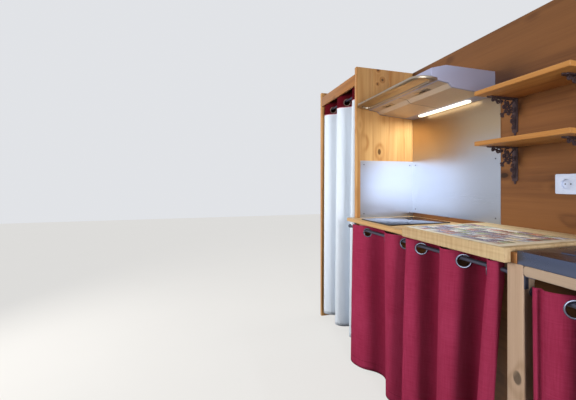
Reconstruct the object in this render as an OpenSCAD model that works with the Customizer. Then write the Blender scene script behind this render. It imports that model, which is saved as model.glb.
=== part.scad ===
// Kitchen bay of a wooden hut: a lined side wall that carries a curtained
// wardrobe, a run of worktops with curtains below, a hood and two shelves.
// Millimetres. X runs along the wall, +Y points into the wall, +Z is up.
// The origin is on the floor, in the middle of the bounding box.

/* [Wall] */
// Height of the lined wall and of the wardrobe panels
wall_h = 1860; // [1780:10:2100]
// Thickness of the plywood lining
lining_t = 12; // [6:1:18]
// Side of the square studs and plates behind the lining
stud = 45; // [35:1:70]
// Number of studs in the wall frame
stud_n = 6; // [3:1:9]
// Distance of the joint in the lining from the wardrobe's side panel
lining_joint = 624; // [500:1:760]

/* [Wardrobe] */
// Clear width of the wardrobe
wardrobe_w = 560; // [450:5:800]
// Depth of the wardrobe from the wall
wardrobe_d = 430; // [380:5:460]
// Thickness of the board panels beside the wardrobe
panel_t = 26; // [18:1:32]
// Height of the underside of the wardrobe's top board
top_board_z = 1800; // [1700:5:1820]
// Thickness of the wardrobe's top board
top_board_t = 18; // [12:1:30]
// Height of the fascia at the front of the wardrobe
fascia_h = 74; // [60:1:120]
// Thickness of the fascia
fascia_t = 16; // [12:1:24]

/* [Worktops] */
// Height of the frame that carries the worktops
frame_z = 860; // [760:5:900]
// Length of the worktop with the hob
hob_top_l = 549; // [500:1:700]
// Depth of the worktop with the hob
hob_top_d = 480; // [475:1:495]
// Thickness of the worktop with the hob
hob_top_t = 22; // [18:1:30]
// Length of the lip that passes in front of the wardrobe panel
hob_lip_l = 36; // [28:1:60]
// Length of the tiled board
board_l = 489; // [400:1:700]
// Depth of the tiled board
board_d = 500; // [500:1:540]
// Thickness of the tiled board
board_t = 46; // [36:1:60]
// Width of the wooden edging round the tiles
edging = 14; // [8:1:30]
// Width of the wood at the right end of the tiles
end_edging = 23; // [8:1:40]
// Depth of the tiled field
tile_d = 372; // [300:1:400]
// Thickness of the tiles
tile_t = 7; // [4:1:12]
// Width of the divider between the tiled board and the sink
divider_w = 19; // [16:1:40]
// Height of the divider
divider_h = 34; // [20:1:38]

/* [Hob] */
// Length of the glass hob
hob_l = 290; // [250:5:400]
// Depth of the glass hob
hob_d = 400; // [300:5:420]
// Thickness of the glass hob
hob_t = 6; // [4:1:10]
// Distance of the hob from the wardrobe panel
hob_gap = 90; // [40:5:120]
// Distance of the hob from the front of the worktop
hob_set = 30; // [20:1:45]
// Radius of the hob's corners
hob_r = 12; // [5:1:20]

/* [Sink] */
// Length of the sink top
sink_l = 800; // [700:5:1000]
// Depth of the sink top
sink_d = 473; // [470:1:490]
// Height of the turned-down edge of the sink top
sink_h = 40; // [30:1:44]
// Thickness of the sink's sheet
sheet_t = 2; // [1:0.5:4]
// Length of the bowl
bowl_l = 340; // [280:5:380]
// Width of the bowl from front to back
bowl_w = 330; // [280:5:335]
// Depth of the bowl below the sink top
bowl_h = 150; // [120:5:200]
// Radius of the bowl's corners
bowl_r = 60; // [30:1:80]
// Distance of the bowl from the right end of the sink top
bowl_end = 60; // [55:1:100]
// Distance of the bowl from the front of the sink top
bowl_front = 74; // [70:1:90]
// Number of drainer ribs
rib_n = 6; // [4:1:8]
// Length of the drainer ribs
rib_l = 300; // [200:5:320]
// Height of the drainer ribs
rib_h = 3; // [2:0.5:5]
// Diameter of the waste outlet
waste_d = 60; // [50:1:70]
// Length of the waste below the bowl
waste_h = 130; // [110:5:160]
// Diameter of the waste's lower pipe
pipe_d = 40; // [30:1:46]
// Distance of the tap from the wall
tap_set = 34; // [30:1:40]
// Diameter of the tap's body
tap_d = 34; // [28:1:40]
// Height of the tap's body
tap_h = 70; // [60:5:90]
// Length of the tap's lever
lever_l = 80; // [50:5:110]
// Diameter of the tap's spout tube
spout_d = 20; // [14:1:26]
// Radius of the bend of the spout
spout_r = 70; // [50:1:90]
// Height of the straight part of the spout
spout_h = 120; // [80:5:200]

/* [Frame of the kitchen] */
// Side of the square posts
post = 49; // [40:1:60]
// Distance of the posts' front from the front of the tiled board
post_set = 25; // [22:1:40]
// Distance of the middle post's left face from the left end of the sink
post_reach = 30; // [20:1:38]
// Height of the bearers and rails
bearer_h = 45; // [30:1:60]
// Thickness of the bearers and rails
bearer_t = 28; // [20:1:40]
// Distance of the front rail from the front of the posts
front_rail_set = 66; // [60:1:90]
// Height of the rail under the sink
sink_rail_h = 30; // [24:1:45]
// Thickness of the rail under the sink
sink_rail_t = 22; // [18:1:30]
// Radius of the rounded end of the rail under the sink
rail_end_r = 10; // [4:1:12]

/* [Curtains] */
// Thickness of the curtain cloth as modelled
cloth_t = 3; // [2:0.5:4]
// Diameter of the curtain rods
rod_d = 16; // [12:1:18]
// Diameter of the flanges at the rods' ends
flange_d = 30; // [24:1:34]
// Thickness of the flanges
flange_t = 5; // [3:1:8]
// Diameter of the ball at the free end of the kitchen rod
finial_d = 24; // [20:1:28]
// Diameter of the tube of an eyelet ring
ring_t = 7; // [5:0.5:8]
// Outer diameter of an eyelet ring
ring_d = 54; // [50:1:58]
// Height of the rod in front of the worktops
rod_z = 826; // [740:1:835]
// Distance of that rod from the front of the posts
rod_set = 20; // [18:1:22]
// Length of one fold of the right kitchen curtain
fold_l = 224; // [200:1:240]
// Length of one fold of the left kitchen curtain
left_fold_l = 340; // [320:1:360]
// Reach of the folds of the right kitchen curtain to each side of the rod
fold_a = 30; // [28:1:32]
// Reach of the folds of the left kitchen curtain
left_fold_a = 40; // [38:1:41]
// Height of the rod under the sink
sink_rod_z = 779; // [700:1:790]
// Distance of that rod from the front of the posts
sink_rod_set = 39.5; // [36:0.5:44]
// Length of one fold of the sink curtain
sink_fold_l = 200; // [190:1:220]
// Reach of the folds of the sink curtain
sink_fold_a = 28; // [26:1:30]
// Height of the rod in the wardrobe
wardrobe_rod_z = 1706; // [1600:1:1710]
// Distance of that rod from the front of the wardrobe
wardrobe_rod_set = 57; // [54:1:62]
// Length of one fold of the wardrobe curtain
wardrobe_fold_l = 235; // [210:1:250]
// Reach of the folds of the wardrobe curtain
wardrobe_fold_a = 32; // [30:1:34]
// Cloth above the eyelets' centres
header = 38; // [32:1:44]
// Cloth above the eyelets' centres on the wardrobe curtain
wardrobe_header = 66; // [40:1:80]
// Height of the hems above the floor
hem_z = 20; // [10:1:100]
// Height of the wardrobe curtain's hem above the floor
wardrobe_hem_z = 60; // [10:1:120]

/* [Splash sheets and hood] */
// Thickness of the steel splash sheets
splash_t = 1.5; // [1:0.5:3]
// Length of the splash sheet on the wall
splash_l = 629; // [610:1:800]
// Depth of the splash sheet on the wardrobe panel
side_splash_d = 403; // [300:1:420]
// Height of the top of the splash sheet on the wardrobe panel
side_splash_z = 1253; // [1100:1:1400]
// Width of the hood
hood_w = 600; // [500:10:900]
// Width of the hood's rim beside the filter panels
hood_rim = 10; // [6:1:20]
// Depth of the hood
hood_d = 452; // [440:1:480]
// Height of the hood at the wall
hood_h = 119; // [115:1:140]
// Height of the hood's underside at the wall
hood_z = 1538; // [1450:1:1560]
// Depth of the hood's body above the visor
hood_body_d = 380; // [370:1:390]
// Depth of the visor's back edge from the wall
visor_d = 345; // [330:1:350]
// Radius of the visor's front corners
visor_r = 80; // [40:1:100]
// Thickness of the filter panels
filter_t = 6; // [4:1:8]
// Distance of the filter panels from the wall
filter_set = 70; // [64:1:90]
// Length of the lamp
lamp_l = 380; // [300:1:480]
// Width of the lamp
lamp_w = 34; // [24:1:40]
// Distance of the lamp from the wall
lamp_set = 20; // [12:1:24]

/* [Shelves] */
// Length of the shelves
shelf_l = 365; // [300:1:500]
// Depth of the shelves
shelf_d = 220; // [195:1:260]
// Thickness of the shelves
shelf_t = 20; // [15:1:30]
// Height of the underside of the lower shelf
shelf_low_z = 1271; // [1200:1:1300]
// Height of the underside of the upper shelf
shelf_high_z = 1495; // [1480:1:1600]
// Distance of the shelves' left end from the left end of the sink
shelf_reach = 378; // [330:1:380]
// Length of both arms of a shelf bracket
arm_l = 170; // [165:1:185]
// Width of the bars of a shelf bracket
arm_w = 24; // [18:1:30]
// Thickness of the bars of a shelf bracket
arm_t = 5; // [4:0.5:8]
// Thickness of the scrollwork
scroll_t = 8; // [5:0.5:12]
// Width of the iron of a scroll
scroll_w = 5; // [4:0.5:6]
// Distance of the left brackets' middles from the shelves' left end
bracket_left_set = 20; // [16:1:60]
// Distance of the right brackets' middles from the shelves' right end
bracket_right_set = 55; // [16:1:60]

/* [Socket] */
// Width of the wall socket
socket_w = 80; // [70:1:90]
// Height of the wall socket
socket_h = 80; // [70:1:90]
// Thickness of the socket's plate
socket_t = 10; // [8:1:14]
// Height of the socket's lower edge
socket_z = 1062; // [1000:1:1120]
// Distance of the socket's left end from the left end of the sink
socket_reach = 190; // [170:1:200]
// Diameter of the socket's round well
well_d = 40; // [36:1:44]

/* [Hidden] */

$fn = 48;
// Gap between pieces that fit without touching
clear = 0.3;
// Reach of a cutter past the faces that it cuts
over = 1;

// Places along the wall
run_l = 2 * panel_t + wardrobe_w + hob_top_l + board_l + divider_w + sink_l;
x_left = -run_l / 2;
x_panel = x_left + panel_t + wardrobe_w;
x_hob = x_panel + panel_t;
x_board = x_hob + hob_top_l;
x_divider = x_board + board_l;
x_sink = x_divider + divider_w;
x_right = run_l / 2;
x_joint = x_hob + lining_joint;
x_post = x_sink - post_reach;
x_shelf = x_sink - shelf_reach;
x_socket = x_sink - socket_reach;

// Places from front to back
depth = board_d + lining_t + stud;
y_front = -depth / 2;
y_wall = y_front + board_d;
y_back = depth / 2;
y_wardrobe = y_wall - wardrobe_d;
y_post = y_front + post_set;
y_front_rail = y_post + front_rail_set;
y_back_rail = y_wall - bearer_t;
y_rod = y_post + rod_set;
y_sink_rod = y_post + sink_rod_set;
y_wardrobe_rod = y_wardrobe + wardrobe_rod_set;

// Sizes of the eyelets
ring_mid = (ring_d - ring_t) / 2;
pocket_d = ring_d + 2 * clear;

// Heights
hob_top_z = frame_z + hob_top_t;
board_z = frame_z + board_t;
sink_z = frame_z + sink_h;
bearer_z = frame_z - bearer_h;

module wood() {
    color("burlywood") children();
}

module honey_wood() {
    color("sandybrown") children();
}

module steel() {
    color("silver") children();
}

module iron() {
    color("dimgray") children();
}

// An outline drawn in the YZ plane, given a length along X
module along_x(x0, length) {
    translate([x0, 0, 0])
        rotate([90, 0, 90])
            linear_extrude(length)
                children();
}

// A block between two corners
module block(x0, x1, y0, y1, z0, z1) {
    translate([x0, y0, z0])
        cube([x1 - x0, y1 - y0, z1 - z0]);
}

// A rectangle with round corners, from its corner nearest the origin
module round_rect(l, w, r) {
    translate([r, 0])
        square([l - 2 * r, w]);
    translate([0, r])
        square([l, w - 2 * r]);
    for (x = [r, l - r])
        for (y = [r, w - r])
            translate([x, y])
                circle(r);
}

// Wall

module lining(x0, x1) {
    wood()
        block(x0, x1, y_wall, y_wall + lining_t, 0, wall_h);
}

module wall_lining_left() {
    lining(x_left, x_joint);
}

module wall_lining_right() {
    lining(x_joint, x_right);
}

module plate(z0) {
    wood()
        block(x_left, x_right, y_back - stud, y_back, z0, z0 + stud);
}

module wall_top_plate() {
    plate(wall_h - stud);
}

module wall_bottom_plate() {
    plate(0);
}

module wall_studs() {
    pitch = (run_l - stud) / (stud_n - 1);
    wood()
        for (i = [0 : stud_n - 1])
            block(x_left + i * pitch, x_left + i * pitch + stud, y_back - stud, y_back, stud, wall_h - stud);
}

// Wardrobe

module board_panel(x0) {
    honey_wood()
        block(x0, x0 + panel_t, y_wardrobe, y_wall, 0, wall_h);
}

module wardrobe_left_panel() {
    board_panel(x_left);
}

module wardrobe_side_panel() {
    board_panel(x_panel);
}

module wardrobe_top_board() {
    honey_wood()
        block(
            x_left + panel_t, x_panel, y_wardrobe + fascia_t, y_wall,
            top_board_z, top_board_z + top_board_t
        );
}

module wardrobe_fascia() {
    z1 = top_board_z + top_board_t;
    honey_wood()
        block(x_left + panel_t, x_panel, y_wardrobe, y_wardrobe + fascia_t, z1 - fascia_h, z1);
}

// Curtains: a sheet in even folds, with a ring at each place where it crosses the rod

// Place of the sheet's middle beside the rod, s along the rod from a crossing
function fold_y(s, l, a) = a * sin(360 * s / l);

// Steepness of the sheet where it crosses the rod
function fold_turn(l, a) = atan(2 * PI * a / l);

// Direction of the sheet at s
function fold_dir(s, l, a) = atan(2 * PI * a / l * cos(360 * s / l));

// Drop of the rings' centres below the rod, at which they hang on it
function ring_drop(l, a) =
    let (
        k = sin(fold_turn(l, a)),
        reach = rod_d / 2 + ring_t / 2 + clear,
        side = sqrt(max(0, pow(ring_mid * k, 2) - pow(reach, 2)) * (1 - k * k)) / k
    )
    side < ring_mid * (1 - k * k) ? side : ring_mid - reach;

// Points along one face of the sheet
function fold_face(s0, s1, l, a, h) = [
    for (i = [0 : 1 : ceil((s1 - s0) / l * 20)])
        let (
            s = min(s0 + i * l / 20, s1),
            turn = fold_dir(s, l, a)
        )
        [s - h * sin(turn), fold_y(s, l, a) + h * cos(turn)]
];

function reversed(list) = [for (i = [len(list) - 1 : -1 : 0]) list[i]];

// Places of the crossings between s0 and s1
function crossings(s0, s1, l) = [
    for (i = [ceil((s0 + ring_d / 2) / l * 2) : 1 : floor((s1 - ring_d / 2) / l * 2)]) i * l / 2
];

// How far a sheet goes within its room: not so far past its last eyelet that it meets the rod again
function sheet_end(room, l) =
    let (last = floor((room - ring_d / 2) / l * 2))
    min(room, (last / 2 + 0.4) * l);

// Turns what stands across the rod to lie across the sheet at a crossing
module at_crossings(x0, y, z, s0, s1, l, a) {
    for (s = crossings(s0, s1, l))
        translate([x0 + s, y, z - ring_drop(l, a)])
            rotate([0, 0, fold_dir(s, l, a)])
                rotate([90, 0, 0])
                    children();
}

// x0 is a place where the sheet crosses the rod, s0 and s1 are its ends from there
module curtain(x0, y, z, s0, s1, l, a, z_hem, z_head) {
    face = concat(
        fold_face(s0, s1, l, a, -cloth_t / 2),
        reversed(fold_face(s0, s1, l, a, cloth_t / 2))
    );
    difference() {
        translate([x0, y, z_hem])
            linear_extrude(z - ring_drop(l, a) + z_head - z_hem)
                polygon(face);
        at_crossings(x0, y, z, s0, s1, l, a)
            cylinder(h = ring_d / 2, d = pocket_d, center = true);
    }
}

module eyelets(x0, y, z, s0, s1, l, a) {
    at_crossings(x0, y, z, s0, s1, l, a)
        rotate_extrude()
            translate([ring_mid, 0])
                circle(d = ring_t, $fn = 24);
}

// A rod between two faces, with a flange against each
module flanged_rod(x0, x1, y, z) {
    translate([x0, y, z])
        rotate([0, 90, 0])
            cylinder(h = x1 - x0, d = rod_d);
    for (x = [x0, x1 - flange_t])
        translate([x, y, z])
            rotate([0, 90, 0])
                cylinder(h = flange_t, d = flange_d);
}

// Wardrobe curtain: where it crosses the rod, from the left panel, and its gaps to the panels
wardrobe_cross = 110;
wardrobe_gap_left = 12;
wardrobe_gap_right = 14;
wardrobe_s0 = -sheet_end(wardrobe_cross - wardrobe_gap_left, wardrobe_fold_l);
wardrobe_s1 = sheet_end(wardrobe_w - wardrobe_cross - wardrobe_gap_right, wardrobe_fold_l);
x_wardrobe_cross = x_left + panel_t + wardrobe_cross;

module wardrobe_rod() {
    iron()
        flanged_rod(x_left + panel_t, x_panel, y_wardrobe_rod, wardrobe_rod_z);
}

module wardrobe_curtain() {
    color("gainsboro")
        curtain(
            x_wardrobe_cross, y_wardrobe_rod, wardrobe_rod_z, wardrobe_s0, wardrobe_s1,
            wardrobe_fold_l, wardrobe_fold_a, wardrobe_hem_z, wardrobe_header
        );
}

module wardrobe_eyelets() {
    steel()
        eyelets(
            x_wardrobe_cross, y_wardrobe_rod, wardrobe_rod_z, wardrobe_s0, wardrobe_s1,
            wardrobe_fold_l, wardrobe_fold_a
        );
}

// Kitchen curtains: two sheets on one rod, which part at a fold's front; the left one is drawn wider
kitchen_cross = 210;
kitchen_gap_left = 21;
kitchen_gap_right = 32;
part_gap = 8;
part_s = -fold_l * 1.25;
left_s1 = 48;
x_cross = x_sink - kitchen_cross;
x_left_cross = x_cross + part_s - part_gap / 2 - left_s1;
left_s0 = -sheet_end(x_left_cross - x_hob - kitchen_gap_left, left_fold_l);
right_s1 = sheet_end(x_post - kitchen_gap_right - x_cross, fold_l);

// The rod stands on a plate and an arm at the wardrobe panel and on a flange at the post
module kitchen_rod() {
    neck = 6;
    arm_inset = 2;
    arm_b = panel_t - 2 * arm_inset;
    plate_h = 50;
    plate_t = 3;
    iron() {
        translate([x_panel - neck, y_rod, rod_z])
            rotate([0, 90, 0])
                cylinder(h = x_post - x_panel + neck, d = rod_d);
        translate([x_panel - neck - finial_d / 3, y_rod, rod_z])
            sphere(d = finial_d);
        translate([x_post - flange_t, y_rod, rod_z])
            rotate([0, 90, 0])
                cylinder(h = flange_t, d = flange_d);
        translate([x_panel + arm_inset, 0, rod_z]) {
            block(0, arm_b, y_rod, y_wardrobe, -rod_d / 4, rod_d / 4);
            block(0, arm_b, y_wardrobe - plate_t, y_wardrobe, -plate_h / 2, plate_h / 2);
        }
    }
}

module kitchen_curtain(x0, s0, s1, l, a) {
    color("brown")
        curtain(x0, y_rod, rod_z, s0, s1, l, a, hem_z, header);
}

module curtain_left() {
    kitchen_curtain(x_left_cross, left_s0, left_s1, left_fold_l, left_fold_a);
}

module curtain_right() {
    kitchen_curtain(x_cross, part_s + part_gap / 2, right_s1, fold_l, fold_a);
}

module kitchen_eyelets() {
    steel() {
        eyelets(x_left_cross, y_rod, rod_z, left_s0, left_s1, left_fold_l, left_fold_a);
        eyelets(x_cross, y_rod, rod_z, part_s + part_gap / 2, right_s1, fold_l, fold_a);
    }
}

// Sink curtain
sink_cross = 127;
sink_gap_left = 29;
sink_gap_right = 8;
x_sink_cross = x_sink + sink_cross;
sink_s0 = -sheet_end(sink_cross - sink_gap_left, sink_fold_l);
sink_s1 = sheet_end(sink_l - sink_cross - post - sink_gap_right, sink_fold_l);

module sink_rod() {
    iron()
        flanged_rod(x_post + post, x_right - post, y_sink_rod, sink_rod_z);
}

module sink_curtain() {
    color("brown")
        curtain(
            x_sink_cross, y_sink_rod, sink_rod_z, sink_s0, sink_s1,
            sink_fold_l, sink_fold_a, hem_z, header
        );
}

module sink_eyelets() {
    steel()
        eyelets(
            x_sink_cross, y_sink_rod, sink_rod_z, sink_s0, sink_s1, sink_fold_l, sink_fold_a
        );
}

// Frame of the kitchen

module bearer(x0, x1, y0, y1) {
    wood()
        block(x0, x1, y0, y1, bearer_z, frame_z);
}

module back_rail() {
    bearer(x_hob, x_right, y_back_rail, y_wall);
}

module front_rail() {
    bearer(x_hob + bearer_t, x_post, y_front_rail, y_front_rail + bearer_t);
}

module left_bearer() {
    bearer(x_hob, x_hob + bearer_t, y_front_rail, y_back_rail);
}

module middle_bearer() {
    bearer(x_post, x_post + bearer_t, y_post + post, y_back_rail);
}

module right_bearer() {
    bearer(x_right - bearer_t, x_right, y_post + post, y_back_rail);
}

module square_post(x0) {
    wood()
        block(x0, x0 + post, y_post, y_post + post, 0, frame_z);
}

module middle_post() {
    square_post(x_post);
}

module right_post() {
    square_post(x_right - post);
}

// Rail under the sink's front, rounded at its left end
module sink_rail() {
    x0 = x_post + post;
    rail_l = x_right - post - x0;
    wood()
        translate([x0, y_post + sink_rail_t, frame_z - sink_rail_h])
            rotate([90, 0, 0])
                linear_extrude(sink_rail_t) {
                    translate([rail_end_r, 0])
                        square([rail_l - rail_end_r, sink_rail_h]);
                    translate([0, rail_end_r])
                        square([rail_l, sink_rail_h - 2 * rail_end_r]);
                    for (z = [rail_end_r, sink_rail_h - rail_end_r])
                        translate([rail_end_r, z])
                            circle(rail_end_r);
                }
}

// Small angle iron in the corner of post and rail
module sink_rail_bracket() {
    x0 = x_post + post;
    z1 = frame_z - sink_rail_h;
    inset = 3;
    iron_t = 3;
    drop = 40;
    reach = 30;
    y0 = y_post + inset;
    y1 = y_post + sink_rail_t - inset;
    iron() {
        block(x0, x0 + iron_t, y0, y1, z1 - drop, z1);
        block(x0, x0 + reach, y0, y1, z1 - iron_t, z1);
    }
}

// Worktops

module hob_worktop() {
    wood() {
        block(x_hob, x_board, y_wall - hob_top_d, y_wall, frame_z, hob_top_z);
        block(x_hob - hob_lip_l, x_hob, y_wall - hob_top_d, y_wardrobe, frame_z, hob_top_z);
    }
}

module hob_glass() {
    color("black")
        translate([x_hob + hob_gap, y_wall - hob_top_d + hob_set, hob_top_z])
            linear_extrude(hob_t)
                round_rect(hob_l, hob_d, hob_r);
}

module tiled_board() {
    wood()
        difference() {
            block(x_board, x_divider, y_front, y_wall, frame_z, board_z);
            block(
                x_board + edging, x_divider - end_edging, y_front + edging, y_front + edging + tile_d,
                board_z - tile_t, board_z + over
            );
        }
}

module tile_field() {
    color("thistle")
        block(
            x_board + edging, x_divider - end_edging, y_front + edging, y_front + edging + tile_d,
            board_z - tile_t, board_z
        );
}

module divider() {
    wood()
        block(x_divider, x_sink, y_post, y_wall, frame_z, frame_z + divider_h);
}

// Sink

x_waste = x_right - bowl_end - bowl_l / 2;
y_waste = y_wall - sink_d + bowl_front + bowl_w / 2;
bowl_z = sink_z - bowl_h;

module bowl_outline(grow) {
    translate([x_waste - bowl_l / 2 - grow, y_waste - bowl_w / 2 - grow])
        round_rect(bowl_l + 2 * grow, bowl_w + 2 * grow, bowl_r + grow);
}

// Ribs of the drainer, half sunk into the sheet
module drainer_ribs() {
    rib_set = 60;
    rib_margin = 20;
    pitch = (bowl_w - 2 * rib_margin) / (rib_n - 1);
    for (i = [0 : rib_n - 1])
        translate([x_sink + rib_set, y_waste - bowl_w / 2 + rib_margin + i * pitch, sink_z])
            rotate([0, 90, 0])
                cylinder(h = rib_l, r = rib_h);
}

// Sheet with its edges turned down, a drainer and the opening for the bowl
module sink_top() {
    y0 = y_wall - sink_d;
    steel()
        difference() {
            union() {
                block(x_sink, x_right, y0, y_wall, frame_z, sink_z);
                drainer_ribs();
            }
            block(
                x_sink + sheet_t, x_right - sheet_t, y0 + sheet_t, y_wall - sheet_t,
                frame_z - over, sink_z - sheet_t
            );
            translate([0, 0, frame_z])
                linear_extrude(sink_h + over)
                    bowl_outline(0);
        }
}

module sink_bowl() {
    steel()
        difference() {
            translate([0, 0, bowl_z])
                linear_extrude(bowl_h - sheet_t)
                    bowl_outline(sheet_t);
            translate([0, 0, bowl_z + sheet_t])
                linear_extrude(bowl_h)
                    bowl_outline(0);
            translate([x_waste, y_waste, bowl_z - over])
                cylinder(h = sheet_t + 2 * over, d = waste_d);
        }
}

// Strainer in the bowl's outlet, with its nut and pipe below
module sink_waste() {
    wall = 4;
    strainer_h = 60;
    nut_h = 12;
    nut_d = waste_d + 24;
    steel()
        translate([x_waste, y_waste, bowl_z])
            difference() {
                union() {
                    translate([0, 0, -strainer_h - wall])
                        cylinder(h = strainer_h + wall + sheet_t, d = waste_d - 2 * clear);
                    translate([0, 0, -nut_h])
                        cylinder(h = nut_h - clear, d = nut_d);
                    translate([0, 0, -waste_h])
                        cylinder(h = waste_h - strainer_h, d = pipe_d);
                }
                translate([0, 0, -strainer_h])
                    cylinder(h = strainer_h + sheet_t + over, d = waste_d - 2 * wall);
            }
}

// Tap with a swan neck and one lever
module tap() {
    base_d = tap_d * 1.4;
    base_h = 8;
    nozzle_l = 30;
    lever_d = 10;
    bend_z = tap_h + spout_h;
    steel()
        translate([x_waste, y_wall - tap_set, sink_z]) {
            cylinder(h = base_h, d = base_d);
            cylinder(h = tap_h, d = tap_d);
            cylinder(h = bend_z, d = spout_d);
            translate([0, -spout_r, bend_z])
                rotate([90, 0, 90])
                    rotate_extrude(angle = 180)
                        translate([spout_r, 0])
                            circle(d = spout_d);
            translate([0, -2 * spout_r, bend_z - nozzle_l])
                cylinder(h = nozzle_l, d = spout_d);
            translate([0, 0, tap_h * 2 / 3])
                rotate([0, 90, 0])
                    cylinder(h = lever_l, d = lever_d);
        }
}

// Splash sheets

module splash_back() {
    steel()
        block(x_hob + splash_t, x_hob + splash_l, y_wall - splash_t, y_wall, board_z, hood_z);
}

module splash_side() {
    steel()
        block(x_hob, x_hob + splash_t, y_wall - side_splash_d, y_wall, hob_top_z, side_splash_z);
}

// Hood: a slanted box on the wall, with a visor along its front

// Bends of the hood's outline: their depths from the wall and heights above its lower edge there
kink_d = 259;
kink_h = 19;
slope_d = 281;
slope_h = 37;
nose_h = 57;
nose_r = 10;
brow_h = 97;
brow_d = 296;
seam = 12;
visor_t = 10;

// Place of a point of the hood's outline, from its depth and its height at the wall
function hood_point(d, h) = [y_wall - d, hood_z + h];

// Height of the hood's underside between the wall and its first bend
function underside(d) = d / kink_d * kink_h;

// Height of the underside in front of the second bend
function visor_h(d) = slope_h + (d - slope_d) * (nose_h - slope_h) / (hood_d - nose_r / 2 - slope_d);

// The filters' section, from a gap below the hood's underside to a height above it
module filter_outline(gap, below, above) {
    d0 = filter_set + gap;
    d1 = visor_d - seam - gap;
    polygon([
        hood_point(d0, underside(d0) - below), hood_point(kink_d, kink_h - below),
        hood_point(slope_d, slope_h - below), hood_point(d1, visor_h(d1) - below),
        hood_point(d1, visor_h(d1) + above), hood_point(slope_d, slope_h + above),
        hood_point(kink_d, kink_h + above), hood_point(d0, underside(d0) + above)
    ]);
}

module hood_body() {
    step = visor_t + clear;
    steel()
        difference() {
            along_x(x_hob + clear, hood_w)
                polygon([
                    hood_point(0, 0), hood_point(kink_d, kink_h), hood_point(slope_d, slope_h),
                    hood_point(visor_d, visor_h(visor_d)), hood_point(visor_d, visor_h(visor_d) + step),
                    hood_point(hood_body_d, visor_h(hood_body_d) + step), hood_point(hood_body_d, brow_h),
                    hood_point(brow_d, hood_h), hood_point(0, hood_h)
                ]);
            along_x(x_hob + clear + hood_rim, hood_w - 2 * hood_rim)
                filter_outline(0, filter_t, filter_t);
        }
}

// A slanting plate with a grip recess along its underside
module hood_visor() {
    back = visor_d + clear;
    grip_set = 12;
    grip_w = 61;
    grip_h = 6;
    grip_end = 25;
    grip_d = visor_d + grip_set;
    steel()
        difference() {
            intersection() {
                along_x(x_hob + clear, hood_w)
                    polygon([
                        hood_point(back, visor_h(back)), hood_point(hood_d - nose_r / 2, nose_h),
                        hood_point(hood_d, nose_h + nose_r / 2),
                        hood_point(hood_d - nose_r / 2, nose_h + visor_t),
                        hood_point(back, visor_h(back) + visor_t)
                    ]);
                translate([x_hob + clear, y_wall - hood_d, hood_z])
                    linear_extrude(hood_h)
                        round_rect(hood_w, hood_d, visor_r);
            }
            intersection() {
                along_x(x_hob + clear, hood_w)
                    polygon([
                        hood_point(grip_d, 0), hood_point(grip_d + grip_w, 0),
                        hood_point(grip_d + grip_w, visor_h(grip_d + grip_w) + grip_h),
                        hood_point(grip_d, visor_h(grip_d) + grip_h)
                    ]);
                translate([x_hob + clear + grip_end, y_wall - grip_d - grip_w, hood_z])
                    linear_extrude(hood_h)
                        round_rect(hood_w - 2 * grip_end, grip_w, grip_w * 0.45);
            }
        }
}

module hood_filters() {
    between = 2;
    filter_l = (hood_w - 2 * hood_rim - between) / 2 - clear;
    for (x = [x_hob + hood_rim + 2 * clear, x_hob + clear + (hood_w + between) / 2])
        steel()
            along_x(x, filter_l)
                filter_outline(clear, 0, filter_t - clear);
}

// Lamp cover with round ends
module hood_lamp() {
    lamp_t = 8;
    lamp_end = lamp_set + lamp_w;
    x0 = x_hob + (hood_w - lamp_l) / 2;
    color("white")
        intersection() {
            along_x(x0, lamp_l)
                polygon([
                    hood_point(lamp_set, underside(lamp_set) - lamp_t),
                    hood_point(lamp_end, underside(lamp_end) - lamp_t),
                    hood_point(lamp_end, underside(lamp_end)), hood_point(lamp_set, underside(lamp_set))
                ]);
            translate([x0, y_wall - lamp_end, hood_z - lamp_t])
                linear_extrude(lamp_t + hood_h)
                    round_rect(lamp_l, lamp_w, lamp_w * 0.45);
        }
}

// Shelves

module shelf(z) {
    wood()
        block(x_shelf, x_shelf + shelf_l, y_wall - shelf_d, y_wall, z, z + shelf_t);
}

module shelf_upper() {
    shelf(shelf_high_z);
}

module shelf_lower() {
    shelf(shelf_low_z);
}

// One half turn of a scroll, open below
module half_ring(r) {
    difference() {
        circle(r);
        circle(r - scroll_w);
        translate([-r - over, -r - over])
            square([2 * (r + over), r + over - clear]);
    }
}

// A volute of n half turns, each tighter than the last by a step, that ends in a bead
module volute(r, n, step) {
    bead = n % 2 == 0 ? n * step - r + scroll_w / 2 : r - (n - 1) * step - scroll_w / 2;
    for (i = [0 : n - 1])
        translate([i % 2 * step, 0])
            rotate(i % 2 * 180)
                half_ring(r - i * step);
    translate([bead, 0])
        circle(scroll_w);
}

// Places in the scrollwork are from the corner of wall and shelf: +X away from the wall, -Y down

// Height of the middle of a volute that bites into the shelf's bar
function below_bar(r) = 1 - arm_t - r;

module curl(x, y, r, n, turn) {
    translate([x, y])
        rotate(turn)
            volute(r, n, r * 0.28);
}

module leaf(x, r) {
    translate([x, below_bar(r * 2.3)])
        circle(r);
}

// Volutes that grow smaller along one bar, an inner one below them, and leaves between
module bar_volutes() {
    first = arm_l * 0.106;
    second = arm_l * 0.1;
    third = arm_l * 0.065;
    inner = arm_l * 0.085;
    curl(arm_l * 0.288, below_bar(first), first, 3, -60);
    curl(arm_l * 0.588, below_bar(second), second, 3, 30);
    curl(arm_l * 0.776, below_bar(third), third, 2, 0);
    curl(arm_l * 0.406, -arm_l * 0.27, inner, 3, 90);
    leaf(arm_l * 0.476, arm_l * 0.035);
    leaf(arm_l * 0.694, arm_l * 0.026);
}

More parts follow.
